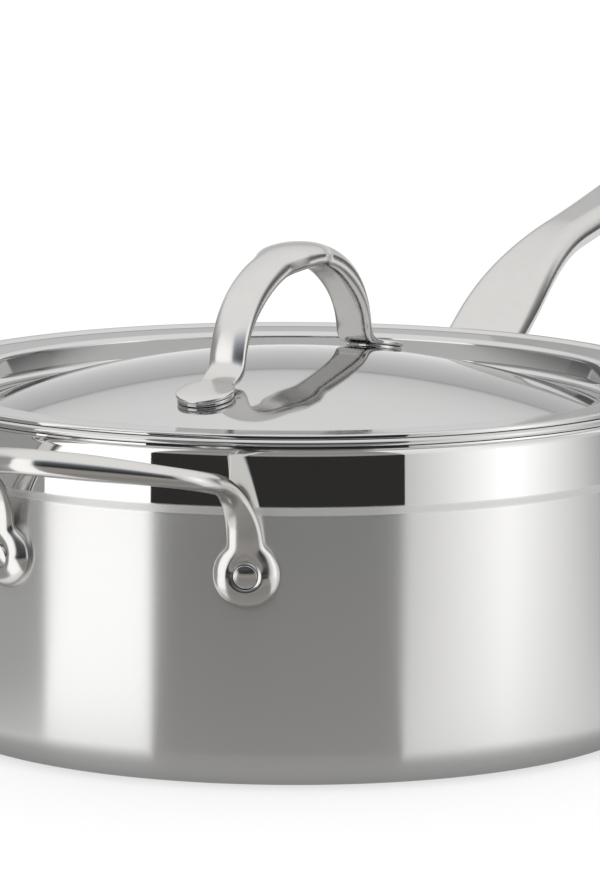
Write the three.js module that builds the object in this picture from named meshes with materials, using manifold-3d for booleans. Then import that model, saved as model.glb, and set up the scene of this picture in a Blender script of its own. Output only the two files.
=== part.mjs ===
// Covered saucepan of clad steel, in millimetres with +Z up.
// The origin is the centre of the base, the long handle points along +X and the helper handle along -X.
import * as THREE from 'three';
import Module from 'manifold-3d';
import { mergeVertices } from 'three/addons/utils/BufferGeometryUtils.js';

const wasm = await Module();
wasm.setup();

// Fits shared by all pieces
const FIT = 0.3; // gap between pieces that touch
const BOND = 0.1; // gap left where two plies are bonded

// Pan body: a clad sheet drawn into a bowl, turned out at the top into a pouring lip
const PAN_R = 112.5; // outside of the straight wall
const PAN_HEIGHT = 100.5; // base to the top of the lip
const SHEET = 2.6; // whole clad sheet
const OUTER_PLY = 0.5;
const INNER_PLY = 0.5;
const BASE_CORNER_R = 11.5;
const LIP_FILLET_R = 3; // outside, under the lip
const LIP_EDGE = 0.9; // straight run of the lip past its fillet
const LIP_SEAL = 0.6; // inner ply turned down over the edge of the core

// Lid: one sheet with a stepped rim, a flat flange, a sunk wall, a valley and a spherical dome
const LID_SHEET = 1;
const LID_EDGE_IN = 1.4; // edge of the lid inside the edge of the lip
const RIM_BAND = 1.7; // flat rim that rests on the lip
const RIM_STEP = 0.9; // rim above the flange
const RIM_STEP_RUN = 2;
const FLANGE_WIDTH = 10.5;
const FLANGE_CORNER_R = 1.8;
const RECESS_DEPTH = 8.7;
const RECESS_FILLET_R = 2.5;
const VALLEY_WIDTH = 2.6;
const DOME_FILLET_R = 6; // where the dome runs into the valley
const DOME_RISE = 7.9; // top of the dome above the lip

// Lid handle: a strap arch on two round feet, each on a boss disc and held by a stud
const FOOT_SPREAD = 56.3; // lid axis to a foot
const FOOT_R = 8.5;
const FOOT_HEIGHT = 1.5;
const BOSS_R = 8.3;
const BOSS_HEIGHT = 0.8;
const ARCH_HALF_SPAN = 42.5; // lid axis to the centre line of a leg
const ARCH_SPRING = 6.2; // foot to the springing line of the arch
const ARCH_RISE = 26.8; // springing line to the crown
const STRAP_WIDTH = 11.2; // where the arch springs
const STRAP_THICK = 3.9;
const SHOULDER_WIDTH = 12.4;
const CROWN_WIDTH = 17.5;
const CROWN_THICK = 7.4;
const CROWN_REACH = 12.5; // lid axis to the start of the swelling
const CROWN_FLAT = 5.5; // lid axis to its full width
const ARCH_SECTION = 2.8; // exponent of the strap's section
const STUD_R = 2.5;
const STUD_BITE = 0.6; // depth of the stud in the foot
const STUD_HEAD_R = 5.5;
const STUD_HEAD_HEIGHT = 1.5;
const STUD_SEAT = 0.5; // gap over the flat head of a stud, under the curve of the dome

// Rivets that hold both pan handles
const RIVET_R = 3.5;
const RIVET_HEAD_R = 7;
const RIVET_HEAD_HEIGHT = 2;
const RIVET_Z = 61.8;
const RIVET_EDGE = 0.4; // bevel of the outer end

// Helper handle: a cast loop whose flattened ends are riveted to the wall
const HELPER_RIVET_ANGLE = 19.7; // degrees either side of -X
const HELPER_PAD_R = 9.5;
const HELPER_PAD_THICK = 5; // wall to the face of the pad
const HELPER_NECK_WIDTH = 10.4;
const HELPER_NECK_THICK = 4.8;
const HELPER_CORNER_WIDTH = 7;
const HELPER_BAR_WIDTH = 8.2;
const HELPER_BAR_THICK = 7.4;
const HELPER_STEM = 5.4; // rivet to the start of the bend
const HELPER_BEND_R = 24;
const HELPER_TURN = 76.6; // degrees from upright to the slope of the loop
const HELPER_REACH = 52.6; // pads to the tip of the loop, along -X
const HELPER_TIP_R = 14.5;
const HELPER_TIP_TURN = 20; // degrees either side of the tip
const HELPER_CORNER_R = 18;
const HELPER_CORNER_TURN = 43.5; // degrees from the line of the tip to the start of a corner
const HELPER_SECTION = 2.5; // exponent of its section, 2 for an ellipse

// Long handle: a cast bar that climbs off the wall, bends out past the lip and ends in a slotted grip
const LONG_RIVET_SPACING = 30;
const LONG_PAD_WIDTH = 46;
const LONG_PAD_BELOW = 11; // rivets to the lower edge of the pad
const LONG_PAD_THICK = 5.6; // wall to the face of the pad
const LONG_STEM = 6; // rivets to the start of the first bend
const LONG_BEND_R = 25;
const LONG_BEND = 55.5; // degrees
const LONG_RAMP = 22.6;
const LONG_CREST_R = 132;
const LONG_CREST = 26; // degrees
const LONG_GRIP = 122; // straight grip
const LONG_RAMP_WIDTH = 25.4;
const LONG_WAIST_WIDTH = 16;
const LONG_GRIP_WIDTH = 22;
const LONG_THICK = 7.2;
const LONG_SECTION = 3.2; // exponent of its section
const SLOT_LENGTH = 16;
const SLOT_WIDTH = 8;
const SLOT_WALL = 8; // end of the handle to the slot

// How finely round shapes are cut into facets
const PAN_SIDES = 48;
const ROD_SIDES = 18;
const STRAP_SIDES = 12;
const TIP_STEPS = [14, 34, 60, 90, 120]; // degrees round the end of a strap
const LEG_STEPS = 6; // leg of the helper loop
const ARCH_STEPS = 7; // half of the lid arch
const LONG_STEPS = 26;

const { clamp, degToRad, lerp, radToDeg, smoothstep } = THREE.MathUtils;
const point = (x, y, z) => new THREE.Vector3(x, y, z);
const UP = point(0, 0, 1);

// Sizes that follow from the ones above
const PAN_INSIDE_R = PAN_R - SHEET;
const LIP_R = PAN_R + LIP_FILLET_R + LIP_EDGE;
const LID_R = LIP_R - LID_EDGE_IN;
const RIM_Z = PAN_HEIGHT + FIT + LID_SHEET; // top of the lid's rim
const FLANGE_Z = RIM_Z - RIM_STEP;
const FLANGE_R = LID_R - RIM_BAND - RIM_STEP_RUN;
const RECESS_R = FLANGE_R - FLANGE_WIDTH - FLANGE_CORNER_R; // face of the sunk wall
const VALLEY_Z = FLANGE_Z - RECESS_DEPTH;
const VALLEY_R = RECESS_R - RECESS_FILLET_R - VALLEY_WIDTH;
const DOME_TOP = PAN_HEIGHT + DOME_RISE;
const DOME_DROP = DOME_TOP - VALLEY_Z - DOME_FILLET_R;
const DOME_R = (VALLEY_R ** 2 + DOME_DROP ** 2 - DOME_FILLET_R ** 2) / (2 * (DOME_FILLET_R + DOME_DROP));
const DOME_CENTRE = point(0, 0, DOME_TOP - DOME_R);
const BOSS_BASE = FIT; // heights above the dome, square to it
const FOOT_BASE = BOSS_BASE + BOSS_HEIGHT + FIT;

// Points along an arc of the (radius, height) plane, angles in degrees
function arc(x, y, radius, from, to, steps) {
  return Array.from({ length: steps + 1 }, (_, i) => {
    const angle = degToRad(lerp(from, to, i / steps));
    return new THREE.Vector2(x + radius * Math.cos(angle), y + radius * Math.sin(angle));
  });
}

// A piece turned round the Z axis from a profile that runs anticlockwise from the axis
function revolve(profile, sides) {
  return new THREE.LatheGeometry(profile, sides).rotateX(Math.PI / 2);
}

// A closed geometry as a solid that can be joined and cut
function solid(geometry) {
  const bare = geometry.clone();
  bare.deleteAttribute('normal');
  bare.deleteAttribute('uv');
  const merged = mergeVertices(bare, 1e-4);
  const corners = [];
  for (let i = 0; i < merged.index.count; i += 3) {
    const [a, b, c] = [0, 1, 2].map((k) => merged.index.getX(i + k));
    if (a !== b && b !== c && c !== a) corners.push(a, b, c);
  }
  return new wasm.Manifold(new wasm.Mesh({
    numProp: 3,
    vertProperties: merged.attributes.position.array,
    triVerts: Uint32Array.from(corners),
  }));
}

function geometryOf(body) {
  const { vertProperties, triVerts } = body.getMesh();
  const geometry = new THREE.BufferGeometry();
  geometry.setAttribute('position', new THREE.BufferAttribute(vertProperties, 3));
  geometry.setIndex(new THREE.BufferAttribute(triVerts, 1));
  geometry.computeVertexNormals();
  return geometry;
}

// The placement that stands the +Z axis of a piece on a spot, along a direction
function standing({ at, along }) {
  const turn = new THREE.Quaternion().setFromUnitVectors(UP, along);
  return new THREE.Matrix4().compose(at, turn, point(1, 1, 1));
}

// A round drill that starts on a spot and runs along its direction
function drill(spot, radius, from, to) {
  const rod = new THREE.CylinderGeometry(radius, radius, to - from, ROD_SIDES);
  rod.rotateX(Math.PI / 2).translate(0, 0, (from + to) / 2);
  return solid(rod.applyMatrix4(standing(spot)));
}

// A headed pin along +Z: the underside of its low round head is at zero
function headedPin(radius, length, headRadius, headHeight, bevel) {
  const ball = (headRadius ** 2 + headHeight ** 2) / (2 * headHeight);
  const reach = radToDeg(Math.asin(headRadius / ball));
  return revolve([
    ...arc(0, ball - headHeight, ball, -90, reach - 90, 3),
    new THREE.Vector2(radius, 0),
    new THREE.Vector2(radius, length - bevel),
    new THREE.Vector2(radius - bevel, length),
    new THREE.Vector2(0, length),
  ], ROD_SIDES);
}

// A closed loft along a path. Each station has a centre, a half width and a half thickness.
// Its flat face looks the given way, or square to a path that lies in the XZ plane.
// The section is a superellipse of a given exponent.
function loft(stations, exponent) {
  const path = new THREE.CatmullRomCurve3(stations.map((station) => station.at));
  const last = stations.length - 1;
  const rounded = (value) => Math.sign(value) * Math.abs(value) ** (2 / exponent);
  const vertices = [];
  stations.forEach(({ at, face, wide, thick }, k) => {
    const along = path.getTangent(k / last);
    const out = (face ?? point(along.z, 0, -along.x)).clone();
    out.addScaledVector(along, -out.dot(along)).normalize();
    const side = out.clone().cross(along);
    for (let i = 0; i < STRAP_SIDES; i += 1) {
      const angle = (2 * Math.PI * i) / STRAP_SIDES;
      const corner = at.clone();
      corner.addScaledVector(side, wide * rounded(Math.cos(angle)));
      corner.addScaledVector(out, thick * rounded(Math.sin(angle)));
      vertices.push(...corner.toArray());
    }
  });
  const caps = stations.length * STRAP_SIDES;
  vertices.push(...stations[0].at.toArray(), ...stations[last].at.toArray());
  const faces = [];
  for (let i = 0; i < STRAP_SIDES; i += 1) {
    const next = (i + 1) % STRAP_SIDES;
    faces.push(caps, next, i);
    faces.push(caps + 1, last * STRAP_SIDES + i, last * STRAP_SIDES + next);
    for (let k = 0; k < last; k += 1) {
      const near = k * STRAP_SIDES;
      const far = near + STRAP_SIDES;
      faces.push(near + i, near + next, far + next, near + i, far + next, far + i);
    }
  }
  const geometry = new THREE.BufferGeometry();
  geometry.setAttribute('position', new THREE.Float32BufferAttribute(vertices, 3));
  geometry.setIndex(faces);
  return geometry;
}

// The larger of two sizes, with the corner between them rounded
const softMax = (a, b, blend) => (a + b + Math.hypot(a - b, blend)) / 2;

// Half width of a strap that starts as a round pad, some way past the tip of the pad
function padWidth(way, radius, strap) {
  const disc = Math.sqrt(Math.max(0, radius ** 2 - (way - radius) ** 2));
  return softMax(disc, strap * smoothstep(way, radius * 0.7, radius * 1.2), radius / 8);
}

// Share of the full size that a rounded tip has, some way past its end
function tipShare(way, radius, power) {
  return (1 - clamp(1 - way / radius, 0, 1) ** power) ** (1 / power);
}

// The sheet of the pan, some way in from its outer surface, from the axis to the lip
function sheetCurve(inset, lipEnd) {
  const lipZ = PAN_HEIGHT - SHEET;
  return [
    new THREE.Vector2(0, inset),
    ...arc(PAN_R - BASE_CORNER_R, BASE_CORNER_R, BASE_CORNER_R - inset, -90, 0, 3),
    ...arc(PAN_R + LIP_FILLET_R, lipZ - LIP_FILLET_R, LIP_FILLET_R + inset, 180, 90, 2),
    new THREE.Vector2(lipEnd, lipZ + inset),
  ];
}

const bowl = (under, edge, over) => solid(revolve([...under, ...edge, ...over.reverse()], PAN_SIDES));

function outerPly() {
  return bowl(sheetCurve(0, LIP_R), [], sheetCurve(OUTER_PLY, LIP_R));
}

function aluminiumCore() {
  const end = LIP_R - LIP_SEAL - BOND;
  return bowl(sheetCurve(OUTER_PLY + BOND, end), [], sheetCurve(SHEET - INNER_PLY - BOND, end));
}

// The inner ply turns down at the lip and closes the edge of the core
function innerPly() {
  const sealZ = PAN_HEIGHT - SHEET + OUTER_PLY + BOND;
  const seal = [LIP_R - LIP_SEAL, LIP_R].map((x) => new THREE.Vector2(x, sealZ));
  return bowl(sheetCurve(SHEET - INNER_PLY, LIP_R - LIP_SEAL), seal, sheetCurve(SHEET, LIP_R));
}

// The sheet of the lid, some way down from its upper surface, from the axis to the edge
function lidCurve(inset) {
  const domeEnd = radToDeg(Math.asin(VALLEY_R / (DOME_R + DOME_FILLET_R)));
  const filletZ = VALLEY_Z + DOME_FILLET_R;
  const cornerZ = FLANGE_Z - FLANGE_CORNER_R;
  return [
    ...arc(0, DOME_CENTRE.z, DOME_R - inset, 90, 90 - domeEnd, 6),
    ...arc(VALLEY_R, filletZ, DOME_FILLET_R + inset, 270 - domeEnd, 270, 1).slice(1),
    ...arc(RECESS_R - RECESS_FILLET_R, VALLEY_Z + RECESS_FILLET_R, RECESS_FILLET_R + inset, -90, 0, 2),
    ...arc(RECESS_R + FLANGE_CORNER_R, cornerZ, FLANGE_CORNER_R - inset, 180, 90, 2),
    new THREE.Vector2(FLANGE_R, FLANGE_Z - inset),
    new THREE.Vector2(FLANGE_R + RIM_STEP_RUN, RIM_Z - inset),
    new THREE.Vector2(LID_R, RIM_Z - inset),
  ];
}

const lidSheet = () => bowl(lidCurve(LID_SHEET), [], lidCurve(0));

// A spot on the dome under a foot of the lid handle, sign picking the side of the lid
function footSpot(sign, height) {
  const lean = Math.asin(FOOT_SPREAD / DOME_R);
  const along = point(sign * Math.sin(lean), 0, Math.cos(lean));
  return { at: DOME_CENTRE.clone().addScaledVector(along, DOME_R + height), along };
}

function bossDisc() {
  const profile = [[0, 0], [BOSS_R, 0], [BOSS_R, BOSS_HEIGHT], [0, BOSS_HEIGHT]];
  return solid(revolve(profile.map(([x, y]) => new THREE.Vector2(x, y)), ROD_SIDES * 2));
}

// One half of the lid arch, from the tip of the foot at +X to just before the crown
function archStations() {
  const { at: foot, along: normal } = footSpot(1, FOOT_BASE + FOOT_HEIGHT / 2);
  const inward = point(-normal.z, 0, normal.x);
  const onFoot = (way) => foot.clone().addScaledVector(inward, way - FOOT_R);
  const pad = TIP_STEPS.map((angle) => FOOT_R * (1 - Math.cos(degToRad(angle))));
  const stations = pad.map((way) => ({
    at: onFoot(way),
    wide: padWidth(way, FOOT_R, STRAP_WIDTH / 2),
    thick: (FOOT_HEIGHT / 2) * tipShare(way, FOOT_R, 4),
  }));
  const root = onFoot(1.9 * FOOT_R);
  const spring = point(ARCH_HALF_SPAN, 0, foot.z + ARCH_SPRING);
  const knee = root.clone().addScaledVector(inward, (root.x - spring.x) / normal.z);
  const bend = new THREE.QuadraticBezierCurve3(root, knee, spring);
  [0, 0.35, 0.7].forEach((share) => stations.push({
    at: bend.getPoint(share),
    wide: padWidth(lerp(1.9, 2.6, share) * FOOT_R, FOOT_R, STRAP_WIDTH / 2),
    thick: lerp(FOOT_HEIGHT, STRAP_THICK, share) / 2,
  }));
  for (let i = 0; i < ARCH_STEPS; i += 1) {
    const angle = (Math.PI / 2) * (i / ARCH_STEPS);
    const climb = Math.sin(angle);
    const x = spring.x * Math.cos(angle);
    const swollen = 1 - smoothstep(x, CROWN_FLAT, CROWN_REACH);
    stations.push({
      at: point(x, 0, spring.z + ARCH_RISE * climb),
      wide: lerp(lerp(STRAP_WIDTH, SHOULDER_WIDTH, climb), CROWN_WIDTH, swollen) / 2,
      thick: lerp(STRAP_THICK, CROWN_THICK, smoothstep(climb, 0, 0.75)) / 2,
    });
  }
  const crown = { at: point(0, 0, spring.z + ARCH_RISE), wide: CROWN_WIDTH / 2, thick: CROWN_THICK / 2 };
  return { stations, crown };
}

function lidHandle() {
  const { stations, crown } = archStations();
  const mirrored = stations.map((station) => ({ ...station, at: station.at.clone().multiply(point(-1, 1, 1)) }));
  const holes = [1, -1].map((sign) => drill(footSpot(sign, FOOT_BASE), STUD_R + FIT, -FIT, STUD_BITE + FIT));
  const arch = solid(loft([...stations, crown, ...mirrored.reverse()], ARCH_SECTION));
  return holes.reduce((body, hole) => body.subtract(hole), arch);
}

// A rivet spot on the inside of the wall, at an angle from +X in degrees
function rivetSpot(angle) {
  const along = point(Math.cos(degToRad(angle)), Math.sin(degToRad(angle)), 0);
  const flat = Math.cos(Math.PI / PAN_SIDES) * Math.sqrt(PAN_INSIDE_R ** 2 - RIVET_HEAD_R ** 2);
  return { at: along.clone().multiplyScalar(flat - FIT).setZ(RIVET_Z), along };
}

const longPadFace = Math.hypot(PAN_R + LONG_PAD_THICK, LONG_RIVET_SPACING / 2);
const longRivetAngle = radToDeg(Math.atan2(LONG_RIVET_SPACING / 2, PAN_R + LONG_PAD_THICK));
const RIVETS = [
  { name: 'helper_rivet_right', angle: 180 + HELPER_RIVET_ANGLE, face: PAN_R + HELPER_PAD_THICK },
  { name: 'helper_rivet_left', angle: 180 - HELPER_RIVET_ANGLE, face: PAN_R + HELPER_PAD_THICK },
  { name: 'long_handle_rivet_right', angle: -longRivetAngle, face: longPadFace },
  { name: 'long_handle_rivet_left', angle: longRivetAngle, face: longPadFace },
];

function drillRivets(body) {
  const holes = RIVETS.map(({ angle, face }) => drill(rivetSpot(angle), RIVET_R + FIT, -FIT, face));
  return holes.reduce((left, hole) => left.subtract(hole), body);
}

// A handle whose pads are hollowed to sit on the wall, with its rivet holes
function fitToWall(handle) {
  const seat = [[0, 0], [PAN_R + FIT, 0], [PAN_R + FIT, PAN_HEIGHT], [0, PAN_HEIGHT]];
  const wall = solid(revolve(seat.map(([x, y]) => new THREE.Vector2(x, y)), PAN_SIDES));
  return drillRivets(handle.subtract(wall));
}

// Side view of the helper handle, some way up from its rivets: how far out, how far up, and its turn
function helperSide(way) {
  const turn = degToRad(HELPER_TURN);
  const turned = clamp((way - HELPER_STEM) / HELPER_BEND_R, 0, turn);
  const past = Math.max(0, way - HELPER_STEM - HELPER_BEND_R * turn);
  return {
    out: HELPER_BEND_R * (1 - Math.cos(turned)) + past * Math.sin(turn),
    up: Math.min(way, HELPER_STEM) + HELPER_BEND_R * Math.sin(turned) + past * Math.cos(turn),
    turned,
  };
}

// Half of the helper loop seen from above, from its tip: a tight bend, a slack side and a corner.
// Each spot is so far back from the tip and so far from the middle.
function helperPlan(half) {
  const tip = degToRad(HELPER_TIP_TURN);
  const corner = degToRad(HELPER_CORNER_TURN);
  const spare = half - HELPER_TIP_R * Math.sin(tip) - HELPER_CORNER_R * (1 - Math.sin(corner));
  const bends = [
    { radius: HELPER_TIP_R, from: 0, to: tip, steps: 2 },
    { radius: spare / (Math.sin(corner) - Math.sin(tip)), from: tip, to: corner, steps: 3 },
    { radius: HELPER_CORNER_R, from: corner, to: Math.PI / 2, steps: 4 },
  ];
  const spots = [{ back: 0, y: 0 }];
  bends.forEach(({ radius, from, to, steps }) => {
    const { back, y } = spots.at(-1);
    for (let i = 1; i <= steps; i += 1) {
      const angle = lerp(from, to, i / steps);
      spots.push({
        back: back + radius * (Math.cos(from) - Math.cos(angle)),
        y: y + radius * (Math.sin(angle) - Math.sin(from)),
      });
    }
  });
  return spots;
}

// One half of the helper loop, from the end of the pad on the side of a sign to just before its tip
function helperStations(sign) {
  const turn = degToRad(HELPER_TURN);
  const sink = HELPER_PAD_THICK - HELPER_NECK_THICK / 2; // neck's centre line to the wall
  const padR = PAN_R + sink;
  const spread = degToRad(HELPER_RIVET_ANGLE);
  const pad = point(-padR * Math.cos(spread), padR * Math.sin(spread), 0);
  const bendOut = HELPER_BEND_R * (1 - Math.cos(turn));
  const length = HELPER_STEM + HELPER_BEND_R * turn + (HELPER_REACH - bendOut) / Math.sin(turn);
  const [tip, ...plan] = helperPlan(pad.y);
  const leg = length - plan.at(-1).back;
  const station = (way, y) => {
    const { out, up, turned } = helperSide(way);
    const lean = spread * (1 - smoothstep(way, 0, length * 0.4));
    const grown = 1 - smoothstep(y / pad.y, 0.3, 0.95);
    const slim = lerp(HELPER_NECK_WIDTH, HELPER_CORNER_WIDTH, smoothstep(way, HELPER_STEM, leg));
    const past = way + HELPER_PAD_R;
    const strap = lerp(HELPER_NECK_THICK, HELPER_BAR_THICK, grown);
    const settled = smoothstep(past, HELPER_PAD_R, 2 * HELPER_PAD_R);
    const flat = Math.cos(turned);
    const face = point(-flat * Math.cos(lean), sign * flat * Math.sin(lean), -Math.sin(turned));
    const at = point(pad.x - out, sign * y, RIVET_Z + up);
    return {
      at: at.addScaledVector(face, -sink * (1 - settled)),
      face,
      wide: padWidth(past, HELPER_PAD_R, lerp(slim, HELPER_BAR_WIDTH, grown) / 2),
      thick: lerp(HELPER_PAD_THICK, strap / 2, settled) * tipShare(past, HELPER_PAD_R, 4),
    };
  };
  const pads = TIP_STEPS.map((angle) => -HELPER_PAD_R * Math.cos(degToRad(angle)));
  const legs = Array.from({ length: LEG_STEPS - 1 }, (_, i) => lerp(pads.at(-1), leg, (i + 1) / LEG_STEPS));
  const stations = [...pads, ...legs].map((way) => station(way, pad.y));
  plan.reverse().forEach(({ back, y }) => stations.push(station(length - back, y)));
  return { stations, middle: station(length, tip.y) };
}

function helperHandle() {
  const { stations, middle } = helperStations(1);
  const loop = [...stations, middle, ...helperStations(-1).stations.reverse()];
  return fitToWall(solid(loft(loop, HELPER_SECTION)));
}

// Side view of the long handle, some way along it from the lower edge of its pad
function longSide(way) {
  const runs = [
    { run: LONG_PAD_BELOW + LONG_STEM, turn: 0 },
    { run: LONG_BEND_R * degToRad(LONG_BEND), turn: -degToRad(LONG_BEND) },
    { run: LONG_RAMP, turn: 0 },
    { run: LONG_CREST_R * degToRad(LONG_CREST), turn: -degToRad(LONG_CREST) },
    { run: LONG_GRIP, turn: 0 },
  ];
  let [x, z, heading, left] = [0, -LONG_PAD_BELOW, Math.PI / 2, way];
  runs.forEach(({ run, turn }) => {
    const done = clamp(left, 0, run);
    const turned = turn * (done / run);
    const chord = turned === 0 ? done : (2 * run / turn) * Math.sin(turned / 2);
    x += chord * Math.cos(heading + turned / 2);
    z += chord * Math.sin(heading + turned / 2);
    heading += turned;
    left -= done;
  });
  return { x, z, heading, length: runs.reduce((sum, { run }) => sum + run, 0) };
}

function longHandle() {
  const { length } = longSide(0);
  const sink = LONG_PAD_THICK - LONG_THICK / 2; // bar's centre line to the wall
  const padX = PAN_R + sink;
  const waist = length - LONG_GRIP;
  const station = (way) => {
    const { x, z } = longSide(way);
    const settled = smoothstep(way, LONG_PAD_BELOW, waist * 0.45);
    const flare = lerp(LONG_PAD_WIDTH, LONG_RAMP_WIDTH, settled);
    const taper = lerp(0, LONG_RAMP_WIDTH - LONG_WAIST_WIDTH, smoothstep(way, waist * 0.45, waist));
    const swell = lerp(0, LONG_GRIP_WIDTH - LONG_WAIST_WIDTH, smoothstep(way, waist, length));
    const ends = tipShare(way, LONG_PAD_BELOW, 3) * tipShare(length - way, LONG_GRIP_WIDTH / 2, 2);
    const body = lerp(LONG_PAD_THICK, LONG_THICK / 2, settled);
    return {
      at: point(padX + x - sink * (1 - settled), 0, RIVET_Z + z),
      wide: ((flare - taper + swell) / 2) * ends,
      thick: body * tipShare(way, LONG_PAD_BELOW, 4) * tipShare(length - way, LONG_THICK, 2),
    };
  };
  const tip = TIP_STEPS.map((angle) => 1 - Math.cos(degToRad(angle)));
  const start = tip.map((share) => LONG_PAD_BELOW * share);
  const end = tip.map((share) => length - (LONG_GRIP_WIDTH / 2) * share).reverse();
  const middle = Array.from({ length: LONG_STEPS - 1 }, (_, i) => lerp(start.at(-1), end[0], (i + 1) / LONG_STEPS));
  const slot = hangingSlot(longSide(length - SLOT_WALL - SLOT_LENGTH / 2), padX);
  const bar = solid(loft([...start, ...middle, ...end].map(station), LONG_SECTION));
  return fitToWall(bar).subtract(slot);
}

// The round-ended slot through the grip by which the pan hangs
function hangingSlot({ x, z, heading }, padX) {
  const half = (SLOT_LENGTH - SLOT_WIDTH) / 2;
  const outline = new THREE.Shape();
  outline.absarc(half, 0, SLOT_WIDTH / 2, -Math.PI / 2, Math.PI / 2);
  outline.absarc(-half, 0, SLOT_WIDTH / 2, Math.PI / 2, (3 * Math.PI) / 2);
  const depth = 4 * LONG_THICK;
  const geometry = new THREE.ExtrudeGeometry(outline, { depth, bevelEnabled: false, curveSegments: 6 });
  geometry.translate(0, 0, -depth / 2).rotateY(-heading).translate(padX + x, 0, RIVET_Z + z);
  return solid(geometry);
}

const steel = (color, roughness) => new THREE.MeshStandardMaterial({ color, roughness, metalness: 1 });
const BRUSHED = [0xc9c9c7, 0.32];
const POLISHED = [0xdcdcd9, 0.08];
const CAST = [0xd6d5d1, 0.12];
const ALUMINIUM = [0xd9dbdd, 0.45];

function piece(name, geometry, [color, roughness]) {
  const mesh = new THREE.Mesh(geometry, steel(color, roughness));
  mesh.name = name;
  return mesh;
}

// A piece modelled along +Z, stood on a spot
function standingPiece(name, geometry, finish, spot) {
  const mesh = piece(name, geometry, finish);
  mesh.applyMatrix4(standing(spot));
  return mesh;
}

const pan = new THREE.Group();
pan.add(piece('outer_steel_ply', geometryOf(drillRivets(outerPly())), BRUSHED));
pan.add(piece('aluminium_core', geometryOf(drillRivets(aluminiumCore())), ALUMINIUM));
pan.add(piece('inner_steel_ply', geometryOf(drillRivets(innerPly())), BRUSHED));
pan.add(piece('helper_handle', geometryOf(helperHandle()), CAST));
pan.add(piece('long_handle', geometryOf(longHandle()), CAST));
RIVETS.forEach(({ name, angle, face }) => {
  const spot = rivetSpot(angle);
  const length = face - Math.hypot(spot.at.x, spot.at.y);
  const pin = headedPin(RIVET_R, length, RIVET_HEAD_R, RIVET_HEAD_HEIGHT, RIVET_EDGE);
  pan.add(standingPiece(name, geometryOf(solid(pin)), POLISHED, spot));
});

const lid = new THREE.Group();
const studHoles = [1, -1].map((sign) => drill(footSpot(sign, 0), STUD_R + FIT, -2 * LID_SHEET, LID_SHEET));
const drilledLid = studHoles.reduce((body, hole) => body.subtract(hole), lidSheet());
lid.add(piece('lid_shell', geometryOf(drilledLid), POLISHED));
lid.add(piece('lid_handle', geometryOf(lidHandle()), CAST));
const bossHole = drill({ at: point(0, 0, 0), along: UP }, STUD_R + FIT, -FIT, BOSS_HEIGHT + FIT);
[['far', 1], ['near', -1]].forEach(([place, sign]) => {
  const headZ = -LID_SHEET - STUD_SEAT;
  const length = FOOT_BASE + STUD_BITE - headZ;
  const pin = headedPin(STUD_R, length, STUD_HEAD_R, STUD_HEAD_HEIGHT, RIVET_EDGE);
  const boss = geometryOf(bossDisc().subtract(bossHole));
  lid.add(standingPiece(`lid_handle_boss_${place}`, boss, POLISHED, footSpot(sign, BOSS_BASE)));
  lid.add(standingPiece(`lid_handle_stud_${place}`, geometryOf(solid(pin)), POLISHED, footSpot(sign, headZ)));
});

const saucepan = new THREE.Group();
saucepan.add(pan, lid);

export default saucepan;
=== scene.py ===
# Looks of the covered saucepan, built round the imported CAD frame.
# Sizes are in millimetres here and become metres when a mesh is made.
import math

import bpy
from mathutils import Matrix, Vector


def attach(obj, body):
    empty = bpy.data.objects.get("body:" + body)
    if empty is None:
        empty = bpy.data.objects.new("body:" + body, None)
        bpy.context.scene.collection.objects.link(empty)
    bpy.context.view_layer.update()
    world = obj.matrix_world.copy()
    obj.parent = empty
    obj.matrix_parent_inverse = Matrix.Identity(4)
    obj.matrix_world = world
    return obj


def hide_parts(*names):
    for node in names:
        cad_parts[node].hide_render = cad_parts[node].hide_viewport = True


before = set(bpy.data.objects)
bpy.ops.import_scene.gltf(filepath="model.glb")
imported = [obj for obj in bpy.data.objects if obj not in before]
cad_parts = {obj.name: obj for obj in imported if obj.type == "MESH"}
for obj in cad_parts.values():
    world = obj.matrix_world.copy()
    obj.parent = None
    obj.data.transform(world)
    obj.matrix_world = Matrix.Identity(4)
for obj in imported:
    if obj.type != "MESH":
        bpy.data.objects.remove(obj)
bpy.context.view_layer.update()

MM = 0.001
TINY = 1e-6

# Sizes shared with the CAD source. The reach of the helper loop, the length of the grip and the thickness
# of the crown are a shade smaller here, to stay inside the CAD box, and the loop's corner is rounder.
FIT = 0.3
PAN_R, PAN_HEIGHT, SHEET = 112.5, 100.5, 2.6
OUTER_PLY, INNER_PLY, BASE_CORNER_R = 0.5, 0.5, 11.5
LIP_FILLET_R, LIP_EDGE = 3.0, 0.9
LID_SHEET, LID_EDGE_IN, RIM_BAND, RIM_STEP, RIM_STEP_RUN = 1.0, 1.4, 1.7, 0.9, 2.0
FLANGE_WIDTH, FLANGE_CORNER_R, RECESS_DEPTH, RECESS_FILLET_R = 10.5, 1.8, 8.7, 2.5
VALLEY_WIDTH, DOME_FILLET_R, DOME_RISE = 2.6, 6.0, 7.9
FOOT_SPREAD, FOOT_R, FOOT_HEIGHT, BOSS_R, BOSS_HEIGHT = 56.3, 8.5, 1.5, 8.3, 0.8
ARCH_HALF_SPAN, ARCH_SPRING, ARCH_RISE = 42.5, 6.2, 26.8
STRAP_WIDTH, STRAP_THICK, SHOULDER_WIDTH, CROWN_WIDTH, CROWN_THICK = 11.2, 3.9, 12.4, 17.5, 7.39
STUD_R, STUD_BITE, STUD_HEAD_R, STUD_HEAD_HEIGHT, STUD_SEAT = 2.5, 0.6, 5.5, 1.5, 0.5
RIVET_R, RIVET_HEAD_R, RIVET_HEAD_HEIGHT, RIVET_Z, RIVET_EDGE = 3.5, 7.0, 2.0, 61.8, 0.4
HELPER_RIVET_ANGLE, HELPER_PAD_R, HELPER_PAD_THICK = 19.7, 9.5, 5.0
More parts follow.
